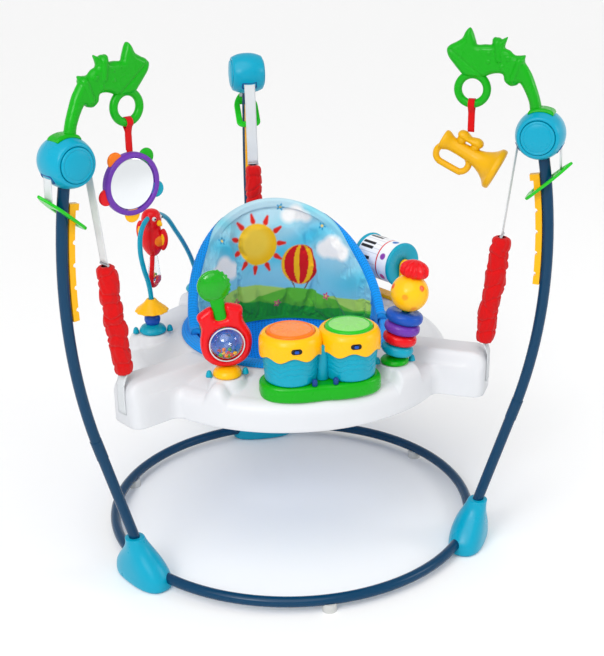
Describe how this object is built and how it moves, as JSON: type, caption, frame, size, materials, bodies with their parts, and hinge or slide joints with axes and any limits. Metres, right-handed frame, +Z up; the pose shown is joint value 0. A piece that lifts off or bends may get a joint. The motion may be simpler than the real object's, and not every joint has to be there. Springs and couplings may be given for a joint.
{
  "type": "baby jumper frame",
  "caption": "Free-standing baby jumper: steel floor ring and posts carry a sprung toy tray with a turning cloth seat, hanging toys and strap height adjusters.",
  "frame": {"origin": "on the floor, under the middle of the box round the whole object", "axes": "+Z up, -Y towards the front where the drums are, +X to the right seen from the front"},
  "size_m": [0.866, 0.858, 0.9541],
  "materials": {
    "tube_paint": "gloss enamel",
    "sky_plastic": "gloss",
    "grey_rubber": "matt",
    "steel": "bright zinc",
    "amber_plastic": "gloss",
    "green_plastic": "gloss",
    "leaf_plastic": "gloss",
    "webbing": "woven",
    "red_cloth": "woven, gathered",
    "spring_steel": "oiled",
    "white_plastic": "satin",
    "blue_cloth": "mesh weave",
    "print_cloth": "printed, padded",
    "teal_plastic": "gloss",
    "yellow_plastic": "gloss",
    "orange_pad": "translucent",
    "lime_pad": "translucent",
    "navy_plastic": "gloss",
    "cell_wrap": "satin",
    "dark_plastic": "matt",
    "red_plastic": "gloss",
    "clear_plastic": "clear",
    "bead_plastic": "gloss, mixed colours",
    "purple_plastic": "gloss",
    "blue_plastic": "gloss",
    "mirror_film": "mirror"
  },
  "bodies": {
    "frame": {"base_tubes": "tube_paint", "feet": "sky_plastic", "floor_pads": "grey_rubber", "frame_screws": "steel", "post_left": "tube_paint", "post_right": "tube_paint", "post_back": "tube_paint", "towers": "sky_plastic", "tower_covers": "sky_plastic", "strap_bars": "steel", "height_racks": "amber_plastic", "arm_left": "green_plastic", "arm_right": "green_plastic", "straps": "webbing"},
    "adjuster_left": {"leaf_left": "leaf_plastic"},
    "adjuster_right": {"leaf_right": "leaf_plastic"},
    "adjuster_back": {"leaf_back": "leaf_plastic"},
    "suspension": {"strap_yokes": "steel", "coil_springs": "spring_steel", "spring_sleeves": "red_cloth"},
    "tray": {"tray_shell": "white_plastic", "spring_anchors": "webbing", "drum_base": "green_plastic", "drum_shell": "teal_plastic", "drum_top": "yellow_plastic", "batteries": "cell_wrap", "battery_door": "green_plastic", "speaker": "dark_plastic", "toy_clips": "navy_plastic", "guitar_base": "yellow_plastic", "stack_post": "green_plastic", "roller_bracket": "yellow_plastic", "arch_tube": "teal_plastic", "arch_base": "teal_plastic"},
    "seat": {"seat_ring": "white_plastic", "seat_cloth": "blue_cloth", "seat_back": "print_cloth"},
    "drum_pad_left": {"drum_pad_left": "orange_pad"},
    "drum_pad_right": {"drum_pad_right": "lime_pad"},
    "drum_switch_left": {"drum_switch_left": "navy_plastic"},
    "drum_switch_right": {"drum_switch_right": "navy_plastic"},
    "guitar": {"guitar_body": "red_plastic", "guitar_neck": "green_plastic"},
    "bead_globe": {"bead_globe": "clear_plastic", "globe_beads": "bead_plastic"},
    "stack_ring_teal": {"stack_ring_teal": "teal_plastic"},
    "stack_ring_red": {"stack_ring_red": "red_plastic"},
    "stack_ring_purple": {"stack_ring_purple": "purple_plastic"},
    "stack_ring_blue": {"stack_ring_blue": "blue_plastic"},
    "stack_head": {"stack_head": "yellow_plastic"},
    "roller": {"roller_drum": "white_plastic", "roller_rings": "teal_plastic"},
    "cone": {"cone_spinner": "yellow_plastic"},
    "bird": {"bird_toy": "red_plastic"},
    "tambourine": {"tambourine_strap": "red_cloth", "tambourine_rim": "purple_plastic", "tambourine_mirror": "mirror_film", "tambourine_lobes": "green_plastic"},
    "trumpet": {"trumpet_strap": "red_cloth", "trumpet": "amber_plastic"}
  },
  "joints": [
    {"name": "height_adjust", "type": "slide", "parent": "frame", "child": "suspension", "axis": [0, 0, 1], "range_m": [0, 0.076], "deforming": ["straps"]},
    {"name": "adjust_left", "type": "slide", "parent": "frame", "child": "adjuster_left", "axis": [0.0843, 0.0487, 0.9952], "range_m": [-0.0765, 0.0005]},
    {"name": "adjust_right", "type": "slide", "parent": "frame", "child": "adjuster_right", "axis": [-0.0843, 0.0487, 0.9952], "range_m": [-0.0765, 0.0005]},
    {"name": "adjust_back", "type": "slide", "parent": "frame", "child": "adjuster_back", "axis": [0, -0.0974, 0.9952], "range_m": [-0.0765, 0.0005]},
    {"name": "bounce", "type": "slide", "parent": "suspension", "child": "tray", "axis": [0, 0, 1], "range_m": [-0.09, 0.02], "stiffness_N_per_m": 1600, "springref_m": 0.03, "deforming": ["coil_springs", "spring_sleeves"]},
    {"name": "seat_turn", "type": "hinge", "parent": "tray", "child": "seat", "pos_m": [0, -0.05799, 0.388], "axis": [0, 0, 1], "continuous": true},
    {"name": "pad_press_left", "type": "slide", "parent": "tray", "child": "drum_pad_left", "axis": [0, 0, 1], "range_m": [-0.003, 0], "stiffness_N_per_m": 1200, "springref_m": 0.002},
    {"name": "switch_left", "type": "slide", "parent": "tray", "child": "drum_switch_left", "axis": [1, 0, 0], "range_m": [-0.003, 0.003]},
    {"name": "pad_press_right", "type": "slide", "parent": "tray", "child": "drum_pad_right", "axis": [0, 0, 1], "range_m": [-0.003, 0], "stiffness_N_per_m": 1200, "springref_m": 0.002},
    {"name": "switch_right", "type": "slide", "parent": "tray", "child": "drum_switch_right", "axis": [1, 0, 0], "range_m": [-0.003, 0.003]},
    {"name": "guitar_swivel", "type": "hinge", "parent": "tray", "child": "guitar", "pos_m": [-0.143, -0.25899, 0.4], "axis": [0, 0, 1], "range_deg": [-45, 45]},
    {"name": "globe_spin", "type": "hinge", "parent": "guitar", "child": "bead_globe", "pos_m": [-0.143, -0.25899, 0.45042], "axis": [1, 0, 0], "continuous": true},
    {"name": "spin_teal", "type": "hinge", "parent": "tray", "child": "stack_ring_teal", "pos_m": [0.15, -0.26699, 0.39], "axis": [0.1908, 0, 0.9816], "continuous": true},
    {"name": "spin_red", "type": "hinge", "parent": "tray", "child": "stack_ring_red", "pos_m": [0.15, -0.26699, 0.39], "axis": [0.1908, 0, 0.9816], "continuous": true},
    {"name": "spin_purple", "type": "hinge", "parent": "tray", "child": "stack_ring_purple", "pos_m": [0.15, -0.26699, 0.39], "axis": [0.1908, 0, 0.9816], "continuous": true},
    {"name": "spin_blue", "type": "hinge", "parent": "tray", "child": "stack_ring_blue", "pos_m": [0.15, -0.26699, 0.39], "axis": [0.1908, 0, 0.9816], "continuous": true},
    {"name": "spin_head", "type": "hinge", "parent": "tray", "child": "stack_head", "pos_m": [0.15, -0.26699, 0.39], "axis": [0.1908, 0, 0.9816], "continuous": true},
    {"name": "roller_spin", "type": "hinge", "parent": "tray", "child": "roller", "pos_m": [0.219, 0.06001, 0.466], "axis": [0.4848, -0.8746, 0], "continuous": true},
    {"name": "cone_spin", "type": "hinge", "parent": "tray", "child": "cone", "pos_m": [-0.25, -0.03099, 0.432], "axis": [0, 0, 1], "continuous": true},
    {"name": "bird_swing", "type": "hinge", "parent": "tray", "child": "bird", "pos_m": [-0.2402, -0.01256, 0.608], "axis": [0.4695, 0.8829, 0], "range_deg": [-20, 20]},
    {"name": "tambourine_swing", "type": "hinge", "parent": "frame", "child": "tambourine", "pos_m": [-0.28402, -0.23497, 0.82978], "axis": [-0.866, -0.5, 0], "range_deg": [-40, 40]},
    {"name": "trumpet_swing", "type": "hinge", "parent": "frame", "child": "trumpet", "pos_m": [0.28402, -0.23497, 0.82978], "axis": [0.866, -0.5, 0], "range_deg": [-40, 40]}
  ],
  "couplings": [
    {"joint": "adjust_left", "follows": "height_adjust", "ratio": -1},
    {"joint": "adjust_right", "follows": "height_adjust", "ratio": -1},
    {"joint": "adjust_back", "follows": "height_adjust", "ratio": -1}
  ]
}
